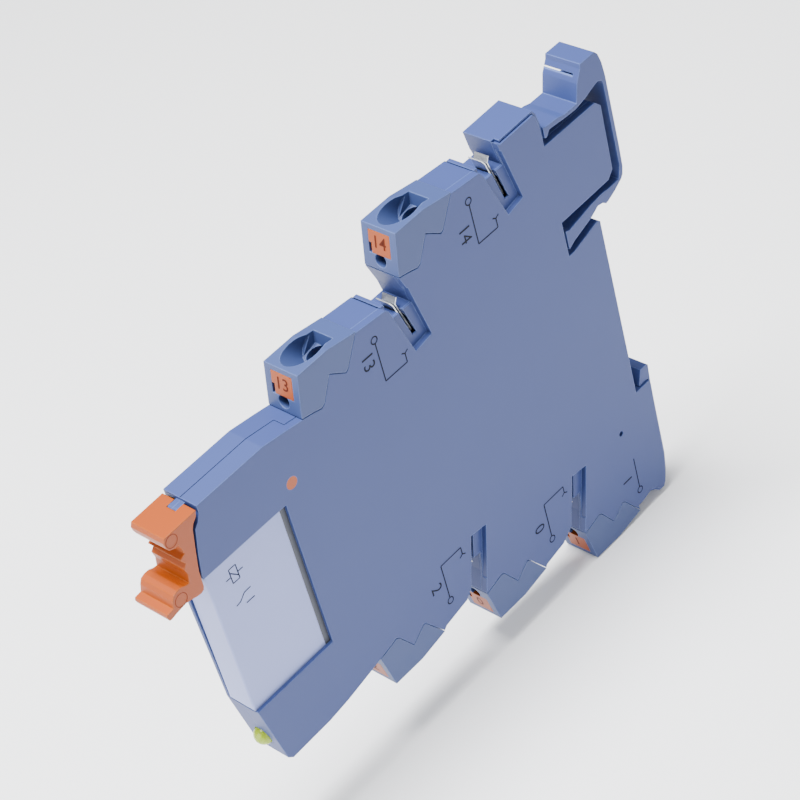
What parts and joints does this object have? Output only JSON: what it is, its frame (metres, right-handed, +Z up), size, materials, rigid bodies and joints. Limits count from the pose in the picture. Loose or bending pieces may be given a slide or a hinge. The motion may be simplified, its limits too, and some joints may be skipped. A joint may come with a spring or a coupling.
{
  "type": "relay module",
  "caption": "Slim rail-mounted relay module with push-in wire terminals, a plug-in relay and an orange retaining lever.",
  "frame": {"origin": "on the rail seat wall, at the middle of the 35 mm rail and of the module's thickness", "axes": "+Y out of the rail seat towards the rail, +Z up with the two-terminal side on top, +X out of the printed side face"},
  "size_m": [0.0062, 0.0943, 0.0801],
  "materials": {
    "bar": "bare",
    "board": "glossy",
    "bobbin": "moulded",
    "capacitor": "glossy",
    "chip": "moulded",
    "contact": "bare",
    "cover": "moulded",
    "housing": "moulded",
    "insert": "moulded",
    "iron": "bare",
    "led": "glossy",
    "lever": "moulded",
    "marker": "moulded",
    "pusher": "moulded",
    "relay_base": "moulded",
    "relay_cap": "moulded",
    "relay_pins": "bare",
    "socket": "moulded",
    "spring": "bare",
    "winding": "bare"
  },
  "bodies": {
    "housing": {"base_housing": "housing", "side_cover": "cover", "circuit_board": "board", "chips": "chip", "rectifier": "chip", "capacitor": "capacitor", "relay_socket": "socket", "led": "led", "marker_dot": "marker", "bridge_1": "contact", "bridge_2": "contact", "bridge_3": "contact", "bridge_4": "contact", "fork_1": "contact", "fork_2": "contact", "fork_3": "contact", "fork_4": "contact", "fork_5": "contact", "insert_upper_front": "insert", "clamp_upper_front": "spring", "bar_upper_front": "bar", "insert_upper_rear": "insert", "clamp_upper_rear": "spring", "bar_upper_rear": "bar", "insert_lower_front": "insert", "clamp_lower_front": "spring", "bar_lower_front": "bar", "insert_lower_middle": "insert", "clamp_lower_middle": "spring", "bar_lower_middle": "bar", "insert_lower_rear": "insert", "clamp_lower_rear": "spring", "bar_lower_rear": "bar"},
    "pusher_upper_front": {"pusher_upper_front": "pusher"},
    "pusher_upper_rear": {"pusher_upper_rear": "pusher"},
    "pusher_lower_front": {"pusher_lower_front": "pusher"},
    "pusher_lower_middle": {"pusher_lower_middle": "pusher"},
    "pusher_lower_rear": {"pusher_lower_rear": "pusher"},
    "lever": {"lever": "lever"},
    "relay": {"relay_cap": "relay_cap", "relay_base": "relay_base", "relay_pins": "relay_pins", "bobbin": "bobbin", "winding": "winding", "core": "iron", "yoke": "iron", "contact_open": "contact", "contact_moving": "contact", "contact_closed": "contact"},
    "armature": {"armature": "iron"}
  },
  "joints": [
    {"name": "press_upper_front", "type": "slide", "parent": "housing", "child": "pusher_upper_front", "axis": [0, 0.9797, -0.2006], "range_m": [0, 0.0007], "stiffness_N_per_m": 2000},
    {"name": "press_upper_rear", "type": "slide", "parent": "housing", "child": "pusher_upper_rear", "axis": [0, 0.9797, -0.2006], "range_m": [0, 0.0007], "stiffness_N_per_m": 2000},
    {"name": "press_lower_front", "type": "slide", "parent": "housing", "child": "pusher_lower_front", "axis": [0, 0.9797, 0.2006], "range_m": [0, 0.0007], "stiffness_N_per_m": 2000},
    {"name": "press_lower_middle", "type": "slide", "parent": "housing", "child": "pusher_lower_middle", "axis": [0, 0.9797, 0.2006], "range_m": [0, 0.0007], "stiffness_N_per_m": 2000},
    {"name": "press_lower_rear", "type": "slide", "parent": "housing", "child": "pusher_lower_rear", "axis": [0, 0.9797, 0.2006], "range_m": [0, 0.0007], "stiffness_N_per_m": 2000},
    {"name": "lever_hinge", "type": "hinge", "parent": "housing", "child": "lever", "pos_m": [0, -0.0793, 0.0247], "axis": [-1, 0, 0], "range_deg": [0, 26.3]},
    {"name": "relay_slide", "type": "slide", "parent": "housing", "child": "relay", "axis": [0, -1, 0], "range_m": [0, 0.0044]},
    {"name": "armature_hinge", "type": "hinge", "parent": "relay", "child": "armature", "pos_m": [0, -0.0716, 0.00595], "axis": [1, 0, 0], "range_deg": [0, 4], "stiffness_Nm_per_rad": 0.01}
  ],
  "couplings": [
    {"joint": "lever_hinge", "follows": "relay_slide", "rad_per_m": 104}
  ]
}
